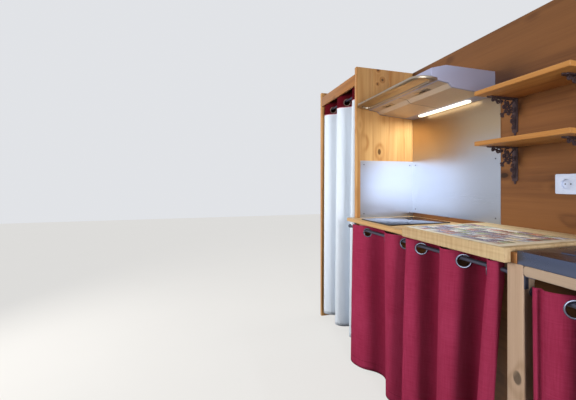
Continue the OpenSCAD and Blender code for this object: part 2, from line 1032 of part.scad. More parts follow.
// A stem from the corner, which ends in a flower of three lobes
module flower_stem() {
    stem_w = scroll_w * 1.3;
    reach = arm_l * 0.65;
    lobe = arm_l * 0.03;
    rotate(-45) {
        translate([stem_w / 2, -stem_w / 2])
            square([reach - stem_w / 2, stem_w]);
        translate([reach, 0]) {
            circle(lobe * 1.2);
            for (a = [-60, 0, 60])
                rotate(a)
                    translate([lobe * 1.6, 0])
                        circle(lobe);
        }
    }
}

module scrollwork() {
    flower_stem();
    bar_volutes();
    mirror([1, 1, 0])
        bar_volutes();
}

// A flat bar with a lobed tip
module bracket_bar() {
    lobe = arm_w / 3;
    neck = arm_l - lobe - arm_w / 2;
    translate([-arm_w / 2, -neck])
        square([arm_w, neck]);
    translate([0, -neck])
        circle(arm_w / 2);
    translate([0, lobe - arm_l])
        circle(lobe);
}

module bracket(x, z) {
    translate([x, y_wall, z]) {
        rotate([90, 0, 0])
            linear_extrude(arm_t)
                bracket_bar();
        translate([0, 0, -arm_t])
            linear_extrude(arm_t)
                bracket_bar();
        translate([-scroll_t / 2, 0, 0])
            rotate([90, 0, 90])
                linear_extrude(scroll_t)
                    mirror([1, 0])
                        scrollwork();
    }
}

module bracket_pair(z) {
    iron()
        for (x = [x_shelf + bracket_left_set, x_shelf + shelf_l - bracket_right_set])
            bracket(x, z);
}

module brackets_upper() {
    bracket_pair(shelf_high_z);
}

module brackets_lower() {
    bracket_pair(shelf_low_z);
}

// Socket

// Square plate with a round well
module wall_socket() {
    corner_r = 6;
    floor_t = 2;
    color("white")
        translate([x_socket, y_wall, socket_z])
            rotate([90, 0, 0])
                difference() {
                    linear_extrude(socket_t)
                        round_rect(socket_w, socket_h, corner_r);
                    translate([socket_w / 2, socket_h / 2, floor_t])
                        cylinder(h = socket_t, d = well_d);
                }
}

wall_lining_left();
wall_lining_right();
wall_top_plate();
wall_bottom_plate();
wall_studs();
wardrobe_left_panel();
wardrobe_side_panel();
wardrobe_top_board();
wardrobe_fascia();
wardrobe_rod();
wardrobe_curtain();
wardrobe_eyelets();
back_rail();
front_rail();
left_bearer();
middle_bearer();
right_bearer();
middle_post();
right_post();
sink_rail();
sink_rail_bracket();
hob_worktop();
hob_glass();
tiled_board();
tile_field();
divider();
sink_top();
sink_bowl();
sink_waste();
tap();
kitchen_rod();
curtain_left();
curtain_right();
kitchen_eyelets();
sink_rod();
sink_curtain();
sink_eyelets();
splash_back();
splash_side();
hood_body();
hood_visor();
hood_filters();
hood_lamp();
shelf_upper();
shelf_lower();
brackets_upper();
brackets_lower();
wall_socket();
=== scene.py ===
import math
import random

import bmesh
import bpy
from mathutils import Matrix, Vector


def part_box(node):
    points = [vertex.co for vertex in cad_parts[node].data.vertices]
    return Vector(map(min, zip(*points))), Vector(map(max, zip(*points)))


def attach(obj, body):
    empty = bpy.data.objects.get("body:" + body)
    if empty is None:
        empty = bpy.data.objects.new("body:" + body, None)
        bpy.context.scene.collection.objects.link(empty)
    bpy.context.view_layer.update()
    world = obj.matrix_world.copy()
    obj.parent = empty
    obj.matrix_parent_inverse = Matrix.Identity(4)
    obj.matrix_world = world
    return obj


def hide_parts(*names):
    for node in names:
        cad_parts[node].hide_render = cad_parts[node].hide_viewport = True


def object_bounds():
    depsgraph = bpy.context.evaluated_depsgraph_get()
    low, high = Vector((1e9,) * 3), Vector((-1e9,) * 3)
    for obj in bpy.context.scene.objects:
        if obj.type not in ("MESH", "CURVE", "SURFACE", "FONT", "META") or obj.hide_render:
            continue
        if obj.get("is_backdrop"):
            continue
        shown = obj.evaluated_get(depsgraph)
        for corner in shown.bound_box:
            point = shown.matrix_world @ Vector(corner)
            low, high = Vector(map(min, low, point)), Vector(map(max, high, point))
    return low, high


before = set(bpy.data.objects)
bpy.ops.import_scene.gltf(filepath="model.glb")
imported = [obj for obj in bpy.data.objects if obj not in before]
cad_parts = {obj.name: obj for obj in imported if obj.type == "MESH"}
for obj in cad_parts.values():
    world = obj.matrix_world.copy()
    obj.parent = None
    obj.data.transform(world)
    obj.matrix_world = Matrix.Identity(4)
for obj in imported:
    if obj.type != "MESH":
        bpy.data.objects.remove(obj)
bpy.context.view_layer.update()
scene = bpy.context.scene
scene.view_settings.view_transform = "Standard"

# Camera
# It stands at eye height at the right-hand end of the bay and looks along the wall
# towards the wardrobe, level, with a wide lens.
eye = (1.1155, -1.1715, 1.104)
toward_wall = math.radians(16.12)
lens = 18.75
horizon_shift = -0.0286

camera = bpy.data.objects.new("camera", bpy.data.cameras.new("camera"))
camera.data.sensor_width = 36
camera.data.lens = lens
camera.data.shift_y = horizon_shift
camera.data.clip_start = 0.02
camera.location = eye
camera.rotation_euler = (math.pi / 2, 0, math.pi / 2 - toward_wall)
scene.collection.objects.link(camera)
scene.camera = camera

# Wall lining
# Two sheets of birch plywood under clear varnish, butted at an upright joint behind
# the splash sheet. The face grain lies along the wall.


def shade(red, green, blue):
    """A colour given as on a screen, from 0 to 255, in the shader's own scale."""
    def linear(value):
        part = value / 255
        return part / 12.92 if part <= 0.04045 else ((part + 0.055) / 1.055) ** 2.4
    return (linear(red), linear(green), linear(blue), 1.0)


class Signal:
    """A shader socket that can stand in a sum."""

    def __init__(self, finish, socket):
        self.finish = finish
        self.socket = socket

    def math(self, operation, first, second=0.0):
        return self.finish.node("ShaderNodeMath", {"operation": operation}, {0: first, 1: second})

    def __add__(self, other):
        return self.math("ADD", self, other)

    def __sub__(self, other):
        return self.math("SUBTRACT", self, other)

    def __rsub__(self, other):
        return self.math("SUBTRACT", other, self)

    def __mul__(self, other):
        return self.math("MULTIPLY", self, other)

    def __truediv__(self, other):
        return self.math("DIVIDE", self, other)

    def __gt__(self, other):
        return self.math("GREATER_THAN", self, other)

    def __lt__(self, other):
        return self.math("LESS_THAN", self, other)

    def __abs__(self):
        return self.math("ABSOLUTE", self)

    __radd__ = __add__
    __rmul__ = __mul__

    def wave(self, cycles):
        """A smooth wave from 0 to 1, with this many cycles for each unit."""
        return self.math("SINE", self * (2 * math.pi * cycles)) * 0.5 + 0.5

    def part(self, size):
        """How far along its cell of the given size a value is, from 0 to 1."""
        return self.math("FRACT", self / size)

    def rise(self, low, high):
        """0 below low, 1 above high, and smooth between them."""
        return self.finish.node(
            "ShaderNodeMapRange", {"interpolation_type": "SMOOTHSTEP"}, {0: self, 1: low, 2: high}
        )


class Finish:
    """A material on the standard shader. Steady values go to the shader's own sockets by name."""

    def __init__(self, name, **steady):
        self.material = bpy.data.materials.new(name)
        self.material.use_nodes = True
        self.tree = self.material.node_tree
        self.shader = self.tree.nodes["Principled BSDF"]
        for socket, value in steady.items():
            self.shader.inputs[socket.replace("_", " ")].default_value = value

    def node(self, kind, settings=None, inputs=None, output=0):
        made = self.tree.nodes.new(kind)
        for key, value in (settings or {}).items():
            setattr(made, key, value)
        for key, value in (inputs or {}).items():
            if isinstance(value, Signal):
                self.tree.links.new(value.socket, made.inputs[key])
            else:
                made.inputs[key].default_value = value
        return Signal(self, made.outputs[output])

    def vary(self, **links):
        for socket, signal in links.items():
            self.tree.links.new(signal.socket, self.shader.inputs[socket.replace("_", " ")])

    def place(self, *scale):
        """Object coordinates, stretched by a factor along each axis."""
        where = self.node("ShaderNodeTexCoord", output="Object")
        return self.node("ShaderNodeMapping", inputs={"Vector": where, "Scale": scale or (1, 1, 1)})

    def axis(self, index, where=None):
        where = where or self.place()
        return self.node("ShaderNodeSeparateXYZ", inputs={0: where}, output=index)

    def tag(self, name):
        return self.node("ShaderNodeAttribute", {"attribute_name": name}, output="Fac")

    def cloud(self, where, detail=2.0, distortion=0.0):
        return self.node(
            "ShaderNodeTexNoise",
            inputs={"Vector": where, "Scale": 1.0, "Detail": detail, "Distortion": distortion},
        )

    def mix(self, share, first, second):
        return self.node("ShaderNodeMix", {"data_type": "RGBA"}, {0: share, 6: first, 7: second}, 2)

    def emboss(self, height, depth):
        self.vary(Normal=self.node("ShaderNodeBump", inputs={"Height": height, "Distance": depth}))


def wood_finish(name, grain, pale, dark, flames=4.0, knots=0.0, gloss=0.45, coat=0.08, fibre=0.5, saw=0.0,
                marked=()):
    """Wood with its fibres along one axis. knots is how many of its cells have one, saw how rough it is, and
    marked holds the middle and radius of knots at places of their own."""
    finish = Finish(name, Coat_Weight=coat, Coat_Roughness=0.3, Specular_IOR_Level=0.3)
    board = finish.tag("board")
    shift = finish.node("ShaderNodeCombineXYZ", inputs={0: board * 31.7, 1: board * 17.3, 2: board * 43.1})

    def stretched(across, along):
        scale = [across] * 3
        scale[grain] = along
        return finish.node("ShaderNodeVectorMath", {"operation": "ADD"}, {0: finish.place(*scale), 1: shift})

    swirl = finish.cloud(stretched(5.5, 0.55), 1.5, 0.4)
    flame = swirl.wave(flames) * 0.34
    if knots:
        cell = finish.node("ShaderNodeTexVoronoi", inputs={"Vector": stretched(8.5, 5.0), "Scale": 1.0})
        chosen = finish.cloud(stretched(3.1, 1.7), 0.0).rise(0.62 - knots * 0.3, 0.66 - knots * 0.3)
        halo = (1 - cell.rise(0.02, 0.42)) * chosen
        heart = (1 - cell.rise(0.085, 0.125)) * chosen
        for middle, radius in marked:
            gap = finish.node("ShaderNodeVectorMath", {"operation": "DISTANCE"}, {0: finish.place(), 1: middle}, "Value")
            heart = heart + (1 - gap.rise(radius * 0.7, radius * 1.1))
            halo = halo + (1 - gap.rise(radius * 0.9, radius * 3.5)) * 0.8
        flame = (swirl + halo * 0.32).wave(flames) * 0.34 + halo * 0.25
    fibres = finish.cloud(stretched(420.0, 9.0), 3.0)
    streaks = finish.cloud(stretched(60.0, 1.6), 2.0)
    share = flame + (fibres - 0.5) * fibre + (streaks - 0.5) * 0.8 + 0.18
    height = fibres * 0.6 + streaks * 0.4
    if saw:
        marks = finish.cloud(finish.place(120, 120, 9), 2.0)
        share = share + (marks - 0.5) * saw
        height = height + marks * saw * 2.5
    colour = finish.mix(share.rise(0.0, 1.0), pale, dark)
    warm = tuple(a * b for a, b in zip(dark, (1.25, 0.98, 0.75, 1.0)))
    colour = finish.mix((board * 7.7).wave(1.0) * 0.28, colour, warm)
    if knots:
        colour = finish.mix(heart * 0.85, colour, tuple(value * 0.22 for value in dark[:3]) + (1.0,))
    finish.vary(Base_Color=colour, Roughness=fibres * 0.16 + (gloss - 0.08))
    finish.emboss(height, 0.0006)
    return finish


def dress(node, finish):
    """Gives a CAD node that keeps its mesh its material."""
    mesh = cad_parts[node].data
    mesh.materials.clear()
    mesh.materials.append(finish.material)


plywood = wood_finish(
    "varnished_plywood", 0, shade(126, 84, 48), shade(86, 53, 29), flames=3.0, knots=0.4, gloss=0.45
)
for sheet in ("wall_lining_left", "wall_lining_right"):
    dress(sheet, plywood)

# Wall frame
# Top plate, bottom plate and studs of planed softwood behind the lining. They show only
# from the back, and their long edges are slightly rounded.


def merged(node):
    """A copy of a CAD node's mesh with its loose triangles joined into faces."""
    shape = bmesh.new()
    shape.from_mesh(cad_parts[node].data)
    bmesh.ops.remove_doubles(shape, verts=shape.verts, dist=0.00002)
    bmesh.ops.dissolve_limit(
        shape, angle_limit=math.radians(0.5), verts=shape.verts, edges=shape.edges, use_dissolve_boundaries=False
    )
    return shape


def ease(shape, edges, width, steps=2):
    bmesh.ops.bevel(
        shape, geom=list(edges), offset=width, offset_type="OFFSET", segments=steps, profile=0.5,
        affect="EDGES", clamp_overlap=True, material=-1,
    )


def sharp_edges(shape, least=30):
    return [e for e in shape.edges if e.is_manifold and e.calc_face_angle() > math.radians(least)]


def piece(name, shape, finish, slot, *nodes, least=35):
    """Makes the object, lets it ride on the body and stand for its CAD nodes."""
    mesh = bpy.data.meshes.new(name)
    shape.to_mesh(mesh)
    shape.free()
    mesh.polygons.foreach_set("use_smooth", [True] * len(mesh.polygons))
    mesh.set_sharp_from_angle(angle=math.radians(least))
    mesh.materials.append(finish.material)
    made = bpy.data.objects.new(name, mesh)
    scene.collection.objects.link(made)
    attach(made, "root")
    if nodes:
        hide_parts(*nodes)
    return made


def eased_copy(node, width, finish, slot, steps=2):
    shape = merged(node)
    ease(shape, sharp_edges(shape), width, steps)
    return piece(node + "_eased", shape, finish, slot, node)


stud_timber_x = wood_finish("plate_softwood", 0, shade(222, 190, 142), shade(176, 134, 84), knots=0.4, coat=0.0, gloss=0.6)
stud_timber_z = wood_finish("stud_softwood", 2, shade(222, 190, 142), shade(176, 134, 84), knots=0.4, coat=0.0, gloss=0.6)
for plate in ("wall_top_plate", "wall_bottom_plate"):
    eased_copy(plate, 0.002, stud_timber_x, "stud_timber")
eased_copy("wall_studs", 0.002, stud_timber_z, "stud_timber")

# Wardrobe panels
# Upright pine boards with V-shaped joints, varnished honey yellow. The boards of the side
# panel meet at the places that show beside the hood; the left panel repeats them.
board_joints = (0.1195, 0.2405, 0.3605)
joint_ease = 0.0028
top_knots = (((-0.622, -0.050, 1.853), 0.009), ((-0.622, -0.017, 1.791), 0.010), ((-0.622, -0.055, 1.761), 0.007))
pine = wood_finish(
    "honey_pine", 2, shade(206, 160, 102), shade(160, 104, 52), flames=3.5, knots=0.5, gloss=0.42, marked=top_knots
)


def add_block(shape, low, high, width, board=0.0, steps=2):
    """A block with rounded edges, its faces tagged with the board that they belong to."""
    low, high = Vector(low), Vector(high)
    tags = shape.faces.layers.float.get("board") or shape.faces.layers.float.new("board")
    place = Matrix.LocRotScale((low + high) / 2, None, high - low)
    corners = bmesh.ops.create_cube(shape, size=1.0, matrix=place)["verts"]
    for face in {f for v in corners for f in v.link_faces}:
        face[tags] = board
    ease(shape, {e for v in corners for e in v.link_edges}, width, steps)


draw = random.Random(11)
for panel in ("wardrobe_left_panel", "wardrobe_side_panel"):
    low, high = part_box(panel)
    shape = bmesh.new()
    starts = [low.y] + [low.y + joint for joint in board_joints]
    ends = starts[1:] + [high.y]
    for start, end in zip(starts, ends):
        add_block(shape, (low.x, start, low.z), (high.x, end, high.z), joint_ease, draw.random())
    piece(panel + "_boards", shape, pine, "pine_boards", panel)

# Painted shade: the top board and the fascia take this darker copy of the honey pine, which stands in for the shade
# they lie in. The divider on the tiled board takes it too, as its own darker wood.
pine_x_shade_and_dark = wood_finish(
    "honey_pine_along_shade_and_dark", 0, shade(166, 114, 64), shade(120, 76, 38), flames=3.5, knots=0.3, gloss=0.42
)
for board in ("wardrobe_top_board", "wardrobe_fascia"):
    eased_copy(board, 0.0015, pine_x_shade_and_dark, "pine_boards")

# Kitchen frame
# Posts, bearers and rails of pale planed softwood. The rail under the sink is rounded at
# its left end and rests on a small angle iron.
post_x = wood_finish("pale_rail_wood", 0, shade(182, 162, 142), shade(148, 124, 102), flames=3.0, knots=0.25)
post_y = wood_finish("pale_bearer_wood", 1, shade(182, 162, 142), shade(148, 124, 102), flames=3.0)
post_z = wood_finish("pale_post_wood", 2, shade(186, 160, 138), shade(146, 122, 98), flames=3.0, knots=0.3)
for rail in ("back_rail", "front_rail", "sink_rail"):
    eased_copy(rail, 0.0012, post_x, "post_wood")
for bearer in ("left_bearer", "middle_bearer", "right_bearer"):
    eased_copy(bearer, 0.0012, post_y, "post_wood")
for post in ("middle_post", "right_post"):
    eased_copy(post, 0.003, post_z, "post_wood", 3)

iron = Finish("charcoal_rod", Metallic=0.75, Base_Color=shade(82, 84, 100))
iron.vary(Roughness=iron.cloud(iron.place(90, 90, 90)) * 0.2 + 0.28)
eased_copy("sink_rail_bracket", 0.0006, iron, "rod_metal")

# Worktop with the hob
# A board of oiled wood that laps past the front of the wardrobe panel, with a rounded
# front edge, and the black glass hob on it.
counter = wood_finish(
    "oiled_worktop", 0, shade(220, 186, 134), shade(172, 130, 80), flames=3.0, knots=0.2, gloss=0.42
)
eased_copy("hob_worktop", 0.003, counter, "worktop_wood", 3)

# Hob
# Black ceramic glass with two rings of fine print round its cooking zones.
low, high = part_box("hob_glass")
zones = ((0.5, 0.26, 0.082), (0.5, 0.74, 0.065))
ring_width = 0.0012
glass = Finish("hob_ceramic_glass", Roughness=0.06, Specular_IOR_Level=0.6, Coat_Weight=0.5, Coat_Roughness=0.03)
mark = None
for across, deep, radius in zones:
    middle = (low.x + (high.x - low.x) * across, low.y + (high.y - low.y) * deep, high.z)
    gap = glass.node("ShaderNodeVectorMath", {"operation": "DISTANCE"}, {0: glass.place(), 1: middle}, "Value")
    for size in (radius, radius * 0.62):
        line = 1 - abs(gap - size).rise(ring_width * 0.5, ring_width)
        mark = line if mark is None else mark + line
glass.vary(Base_Color=glass.mix(mark.rise(0.0, 1.0), shade(9, 9, 12), shade(150, 150, 156)))
eased_copy("hob_glass", 0.0015, glass, "hob_glass")

# Tiled board
# A thick rough-sawn plank with upright saw marks on its front. In its recess small glazed
# tiles lie in mortar, inside a pale painted edging at the front and at the right end.
sawn = wood_finish(
    "rough_sawn_board", 0, shade(212, 190, 150), shade(162, 132, 94), flames=2.5, gloss=0.6, coat=0.0, fibre=0.35, saw=0.7
)
eased_copy("tiled_board", 0.0025, sawn, "worktop_wood", 3)

recess_low, recess_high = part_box("tile_field")
strip_front = 0.0245
strip_end = 0.0275
strip_rise = 0.0005
painted = wood_finish("painted_edging", 0, shade(240, 233, 214), shade(214, 202, 176), flames=2.0, gloss=0.5, fibre=0.3)
shape = bmesh.new()
top = recess_high.z + strip_rise
add_block(
    shape, recess_low, (recess_high.x, recess_low.y + strip_front, top), 0.0012, 0.2,
)
add_block(
    shape, (recess_high.x - strip_end, recess_low.y + strip_front, recess_low.z),
    (recess_high.x, recess_high.y, top), 0.0012, 0.7,
)
piece("tile_edging", shape, painted, "worktop_wood")

tile_columns = 10
tile_rows = 8
mortar_gap = 0.0055
mortar_drop = 0.0018
glazes = (
    shade(232, 224, 204), shade(150, 96, 84), shade(150, 160, 116), shade(222, 208, 176), shade(112, 84, 108),
    shade(240, 234, 220), shade(196, 116, 82), shade(182, 186, 198), shade(132, 60, 52), shade(214, 186, 176),
    shade(110, 116, 100), shade(236, 222, 190), shade(126, 112, 134), shade(204, 160, 128),
)
mortar = Finish("tile_mortar", Roughness=0.85)
grit = mortar.cloud(mortar.place(900, 900, 900), 3.0)
mortar.vary(Base_Color=mortar.mix(grit, shade(246, 240, 230), shade(222, 214, 202)))
mortar.emboss(grit, 0.0004)
field_low = recess_low + Vector((0, strip_front, 0))
field_high = recess_high - Vector((strip_end, 0, 0))
shape = bmesh.new()
add_block(shape, field_low, field_high - Vector((0, 0, mortar_drop)), 0.0003)
piece("tile_mortar_bed", shape, mortar, "tiles", "tile_field")

glazed = Finish("mixed_glazes", Coat_Weight=0.4, Coat_Roughness=0.1, Specular_IOR_Level=0.4)
pick = glazed.tag("board")
colour = glazes[0]
for step, glaze in enumerate(glazes[1:], 1):
    colour = glazed.mix(pick > step / len(glazes), colour, glaze)
bloom = glazed.cloud(glazed.place(70, 70, 70), 3.0)
colour = glazed.mix((bloom - 0.22) * 0.6, colour, shade(240, 232, 220))
glazed.vary(Base_Color=colour, Roughness=bloom * 0.2 + 0.15)
glazed.emboss(glazed.cloud(glazed.place(40, 40, 40), 1.0), 0.0006)
draw = random.Random(5)
pitch_x = (field_high.x - field_low.x) / tile_columns
pitch_y = (field_high.y - field_low.y) / tile_rows
shape = bmesh.new()
last = None
for column in range(tile_columns):
    for row in range(tile_rows):
        x = field_low.x + column * pitch_x + mortar_gap / 2
        y = field_low.y + row * pitch_y + mortar_gap / 2
        top = field_high.z - draw.uniform(0.0, 0.0006)
        last = draw.choice([index for index in range(len(glazes)) if index != last])
        add_block(
            shape, (x, y, field_high.z - 0.0045), (x + pitch_x - mortar_gap, y + pitch_y - mortar_gap, top),
            0.0011, (last + 0.5) / len(glazes),
        )
piece("glazed_tiles", shape, glazed, "tiles")

eased_copy("divider", 0.002, pine_x_shade_and_dark, "worktop_wood")

# Sink
# A pressed stainless top with its edges turned down, a ribbed drainer and a bowl, which
# has a strainer in its outlet. The tap has a swan neck and one lever.
stainless = Finish("sink_stainless", Metallic=1.0)
scratch = stainless.cloud(stainless.place(30, 900, 30), 3.0)
smear = stainless.cloud(stainless.place(6, 6, 6), 3.0)
stainless.vary(
    Base_Color=stainless.mix(smear, shade(80, 88, 112), shade(100, 108, 132)),
    Roughness=scratch * 0.14 + smear * 0.16 + 0.14,
)
stainless.emboss(scratch, 0.0002)
for part in ("sink_top", "sink_bowl", "sink_waste"):
    eased_copy(part, 0.0008, stainless, "sink_steel")

chrome = Finish("tap_chrome", Metallic=1.0, Base_Color=shade(214, 215, 220))
chrome.vary(Roughness=chrome.cloud(chrome.place(25, 25, 25), 2.0) * 0.12 + 0.06)
dress("tap", chrome)

# Curtain rods
# Charcoal steel tubes: one in the wardrobe, one before the worktops with a ball at its
# free end, and a lower one under the sink.
for rod in ("wardrobe_rod", "kitchen_rod", "sink_rod"):
    dress(rod, iron)

# Curtains
# Cotton sheets that hang on their rods by pressed eyelets. Each is made flat, with its
# round eyelet holes, and then laid in folds that keep its width, so that its arc along
# the rod is that of the flat cloth. The folds swell and wander towards the hem.
eyelet_hole = 0.024
cloth_body = 0.0009
ring_outer = 0.0275
ring_inner = 0.0205
ring_half = 0.0017


def ring_middles(node):
    """Middles of the separate rings of a node of eyelets, from left to right."""
    shape = merged(node)
    left, middles = set(shape.verts), []
    while left:
        todo, group = [left.pop()], []
        while todo:
            vert = todo.pop()
            group.append(vert.co.copy())
            others = {edge.other_vert(vert) for edge in vert.link_edges} & left
            left -= others
            todo += others
        middles.append(sum(group, Vector()) / len(group))
    shape.free()
    return sorted(middles, key=lambda middle: middle.x)


def to_and_fro(phase):
    """From -1 to 1 and back, and nearly level where it is highest, so that the cloth is flat at an eyelet."""
    return math.cos(phase) * (1 + 0.5 * math.sin(phase) ** 2)


def fold_shape(swing):
    """Run and reach of a fold, in shares of its arc, if the sheet's direction swings by this angle."""
    turns = [swing * to_and_fro(math.pi / 2 * (i + 0.5) / 64) for i in range(64)]
    return sum(map(math.cos, turns)) / 64, sum(map(math.sin, turns)) / 64 / 4


class Hanging:
    """The folds of one sheet. Its direction swings to and fro along its arc, so that it goes
    through its eyelets first away from the room and then back, and it wanders below them."""

    def __init__(self, node, rings, reach, seed, lean=0.004, first_pleat=0.0, last_pleat=0.0, more=0.0, last_turn=1.0, deepen=0.3, slide=0.0, stop=None):
        low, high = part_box(node)
        self.node, self.rings, self.stop = node, rings, stop
        self.hem, self.head = low.z, high.z
        fold = 2 * (rings[-1].x - rings[0].x) / (len(rings) - 1)
        least, most = 0.1, 1.5
        for _ in range(24):
            self.swing = (least + most) / 2
            run, depth = fold_shape(self.swing)
            if depth / run * fold < reach:
                least = self.swing
            else:
                most = self.swing
        stretch = 1 / run
        self.fold = fold * stretch
        self.places = [(ring.x - rings[0].x) * stretch for ring in rings]
        self.lean, self.first_pleat, self.last_pleat = lean, first_pleat, last_pleat
        self.last_turn, self.deepen, self.slide = last_turn, deepen, slide
        self.start = (low.x - rings[0].x) * stretch - first_pleat * 0.1
        self.width = (high.x - rings[0].x) * stretch + more - self.start
        self.count = round(self.width / 0.0025)
        draw = random.Random(seed)
        self.knots = [[draw.uniform(-1, 1) for _ in range(4)] for _ in range(int(self.width / self.fold * 2) + 3)]
        self.rest = None
        self.rest = self.row(0.0)

    def drift(self, arc, channel):
        """A smooth wander along the cloth, from -1 to 1."""
        place = max(0.0, (arc - self.start) / self.fold * 2)
        index = min(len(self.knots) - 2, int(place))
        share = min(1.0, place - index)
        share = share * share * (3 - 2 * share)
        return self.knots[index][channel] * (1 - share) + self.knots[index + 1][channel] * share

    def direction(self, arc, loose):
        phase = 2 * math.pi * arc / self.fold
        front = -self.fold / 4
        last = self.places[-1]
        if self.first_pleat and arc < front:
            phase = -math.pi / 2 + (arc - front) * 2 * math.pi / self.first_pleat
        if self.last_pleat and arc > last:
            phase += (arc - last) * 2 * math.pi * (1 / self.last_pleat - 1 / self.fold)
        swing = self.swing * (1 + loose * (self.deepen + 0.12 * self.drift(arc, 0)))
        if arc > last - self.fold / 4:
            swing *= self.last_turn
        elif arc > last - 3 * self.fold / 4:
            swing *= 1 + (self.last_turn - 1) * 0.3
        phase += loose * 0.4 * self.drift(arc, 1)
        ripple = 0.16 * loose * math.sin(3 * phase + 2.5 * self.drift(arc, 3))
        phase += loose * 0.2 * self.drift(arc, 2) * math.sin(2 * phase)
        return swing * to_and_fro(phase) + ripple

    def row(self, fall):
        """Plan of one level row of cloth, fall being 0 at the eyelets and 1 at the hem."""
        loose = fall ** 0.8
        step = self.width / self.count
        turns = [self.direction(self.start + index * step, loose) for index in range(self.count + 1)]
        points = [Vector((0, 0))]
        for before, after in zip(turns, turns[1:]):
            turn = (before + after) / 2
            points.append(points[-1] + Vector((math.cos(turn), math.sin(turn))) * step)
        if self.rest is None:
            place = -self.start / step
            shift = -points[int(place)].lerp(points[int(place) + 1], place % 1)
        else:
            shift = (sum(self.rest, Vector((0, 0))) - sum(points, Vector((0, 0)))) / len(points)
            shift += Vector((self.slide, -self.lean)) * loose
        return [point + shift for point in points]


def ring_place(hang, arc):
    """Where an eyelet's middle lies, and how far the cloth is turned there."""
    place = (arc - hang.start) / hang.width * hang.count
    point = hang.rest[int(place)].lerp(hang.rest[int(place) + 1], place % 1)
    turn = hang.direction(arc, 0.0)
    return Matrix.Translation(hang.rings[0] + Vector((point.x, point.y, 0))) @ Matrix.Rotation(turn, 4, "Z")


def curtain(hang, finish, slot, level=0.02):
    """The sheet itself: a flat grid with its holes, which is then laid along the rows of its folds."""
    width, height = hang.width, hang.head - hang.hem
    middle_z = hang.rings[0].z - hang.hem
    fine = math.ceil((height - middle_z + 0.06) / 0.005) * 0.005
    shape = bmesh.new()
    columns = round(width / 0.005)
    bmesh.ops.create_grid(shape, x_segments=columns, y_segments=round(fine / 0.005), size=0.5)
    for vert in shape.verts:
        vert.co = Vector(((vert.co.x + 0.5) * width + hang.start, 0, height - (0.5 - vert.co.y) * fine))
    # The plain cloth below the eyelets is drawn down in longer steps
    lower = [e for e in shape.edges if all(v.co.z < height - fine + 0.0001 for v in e.verts)]
    steps = round((height - fine) / level)
    for index in range(steps):
        made = bmesh.ops.extrude_edge_only(shape, edges=lower)["geom"]
        fresh = {g for g in made if isinstance(g, bmesh.types.BMVert)}
        lower = [g for g in made if isinstance(g, bmesh.types.BMEdge) and all(v in fresh for v in g.verts)]
        for vert in fresh:
            vert.co.z = (height - fine) * (1 - (index + 1) / steps)
    for place in hang.places:
        middle = Vector((place, 0, middle_z))
        inside = [f for f in shape.faces if (f.calc_center_median() - middle).length < eyelet_hole]
        bmesh.ops.delete(shape, geom=inside, context="FACES")
        for vert in shape.verts:
            away = vert.co - middle
            if vert.is_boundary and 0 < away.length < eyelet_hole * 1.5:
                vert.co = middle + away.normalized() * eyelet_hole
    layer = shape.loops.layers.uv.new("cloth")
    levels = {}
    for face in shape.faces:
        for loop in face.loops:
            loop[layer].uv = (loop.vert.co.x - hang.start, loop.vert.co.z)
    for vert in shape.verts:
        levels.setdefault(round(vert.co.z, 4), []).append(vert)
    origin = hang.rings[0]
    for z, row in levels.items():
        fall = min(1.0, max(0.0, (middle_z - 0.03 - z) / (middle_z - 0.03)))
        points = hang.row(fall)
        for vert in row:
            place = min(hang.count - 0.001, max(0.0, (vert.co.x - hang.start) / width * hang.count))
            point = points[int(place)].lerp(points[int(place) + 1], place % 1)
            y = origin.y + point.y
            if hang.stop:
                stop_y, stop_z = hang.stop
                y += (max(y, stop_y) - y) * min(1.0, max(0.0, (hang.hem + z - stop_z) / 0.05))
            vert.co = Vector((origin.x + point.x, y, hang.hem + z))
    bmesh.ops.recalc_face_normals(shape, faces=shape.faces)
    made = piece(hang.node + "_cloth", shape, finish, slot, hang.node, least=180)
    body = made.modifiers.new("cloth_body", "SOLIDIFY")
    body.thickness = cloth_body
    body.offset = 0


ring_metal = Finish("eyelet_nickel", Metallic=1.0, Base_Color=shade(102, 105, 120))
ring_metal.vary(Roughness=ring_metal.cloud(ring_metal.place(60, 60, 60)) * 0.2 + 0.14)


def eyelets(node, finish, *hangs):
    """Pressed rings with a rolled section, spun and set square to the cloth."""
    shape = bmesh.new()
    middle = (ring_outer + ring_inner) / 2
    half = (ring_outer - ring_inner) / 2
    for hang in hangs:
        for arc in hang.places:
            old = set(shape.verts)
            profile = bmesh.ops.create_circle(shape, segments=10, radius=1.0)["verts"]
            for vert in profile:
                vert.co = Vector((middle + vert.co.x * half, vert.co.y * ring_half, 0))
            edges = list({e for v in profile for e in v.link_edges})
            bmesh.ops.spin(
                shape, geom=profile + edges, cent=(0, 0, 0), axis=(0, 1, 0), dvec=(0, 0, 0),
                angle=2 * math.pi, steps=40, use_merge=True, use_duplicate=False,
            )
            bmesh.ops.transform(shape, matrix=ring_place(hang, arc), verts=[v for v in shape.verts if v not in old])
    bmesh.ops.recalc_face_normals(shape, faces=shape.faces)
    return piece(node + "_pressed", shape, finish, "ring_metal", node, least=60)


def cloth_finish(name, threads, **steady):
    """A finish with the cloth's own two directions and its thread pattern as attributes."""
    finish = Finish(name, Specular_IOR_Level=0.15, **steady)
    finish.uv = finish.node("ShaderNodeUVMap", {"uv_map": "cloth"})
    finish.across = finish.axis(0, finish.uv)
    finish.along = finish.axis(1, finish.uv)
    finish.weave = finish.across.wave(1 / threads) * finish.along.wave(1 / threads)
    return finish


def cloth_cloud(finish, across, along, detail=3.0):
    return finish.cloud(finish.node("ShaderNodeMapping", inputs={"Vector": finish.uv, "Scale": (across, along, 1)}), detail)


